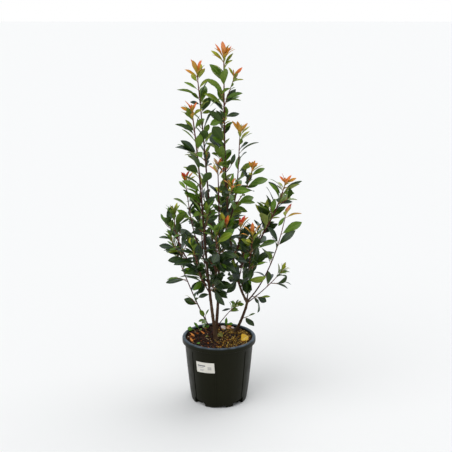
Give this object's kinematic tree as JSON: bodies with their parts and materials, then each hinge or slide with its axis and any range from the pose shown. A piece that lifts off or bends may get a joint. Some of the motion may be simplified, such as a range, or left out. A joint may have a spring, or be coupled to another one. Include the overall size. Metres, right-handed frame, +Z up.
{
  "type": "potted shrub",
  "caption": "Evergreen photinia shrub with slim upright stems, glossy leaves and red young tips, standing in a round black nursery pot filled with potting mix.",
  "frame": {"origin": "middle of the pot's flat underside, on the surface that it stands on", "axes": "+Z up along the pot's axis; the plant is seen along +Y with +X to the right, as in the source view"},
  "size_m": [0.5121, 0.4345, 1.3417],
  "materials": {
    "pot": "moulded black plastic, satin, slightly dusty",
    "soil": "rough potting mix of bark and peat",
    "bark": "thin reddish brown bark, matt",
    "leaf": "glossy dark green leaves, bronze and red at the tips"
  },
  "bodies": {
    "root": {"foliage_back_right": "leaf", "foliage_back_tall": "leaf", "foliage_centre_stem": "leaf", "foliage_far_centre": "leaf", "foliage_far_left": "leaf", "foliage_far_right": "leaf", "foliage_foot_left": "leaf", "foliage_foot_right": "leaf", "foliage_fork_side": "leaf", "foliage_front_right": "leaf", "foliage_heart_back": "leaf", "foliage_heart_front": "leaf", "foliage_heart_right": "leaf", "foliage_inner_front": "leaf", "foliage_inner_left": "leaf", "foliage_leader": "leaf", "foliage_leader_front": "leaf", "foliage_left_front": "leaf", "foliage_left_stem": "leaf", "foliage_low_right": "leaf", "foliage_low_stem": "leaf", "foliage_middle_front": "leaf", "foliage_near_centre": "leaf", "foliage_near_left": "leaf", "foliage_near_right": "leaf", "foliage_outer_bunch": "leaf", "foliage_outer_droop": "leaf", "foliage_outer_left": "leaf", "foliage_outer_low": "leaf", "foliage_outer_right": "leaf", "foliage_outer_stem": "leaf", "foliage_right_tip": "leaf", "foliage_tall_back": "leaf", "foliage_tall_inner": "leaf", "foliage_tall_left": "leaf", "foliage_top_side": "leaf", "foliage_upper_right": "leaf", "limb_back_right": "bark", "limb_back_tall": "bark", "limb_centre_stem": "bark", "limb_far_centre": "bark", "limb_far_left": "bark", "limb_far_right": "bark", "limb_front_right": "bark", "limb_inner_left": "bark", "limb_leader": "bark", "limb_left_stem": "bark", "limb_low_right": "bark", "limb_low_stem": "bark", "limb_near_centre": "bark", "limb_near_left": "bark", "limb_near_right": "bark", "limb_outer_left": "bark", "limb_outer_right": "bark", "limb_outer_stem": "bark", "limb_right_stem": "bark", "limb_tall_left": "bark", "limb_upper_right": "bark", "pot": "pot", "soil": "soil"}
  },
  "joints": []
}
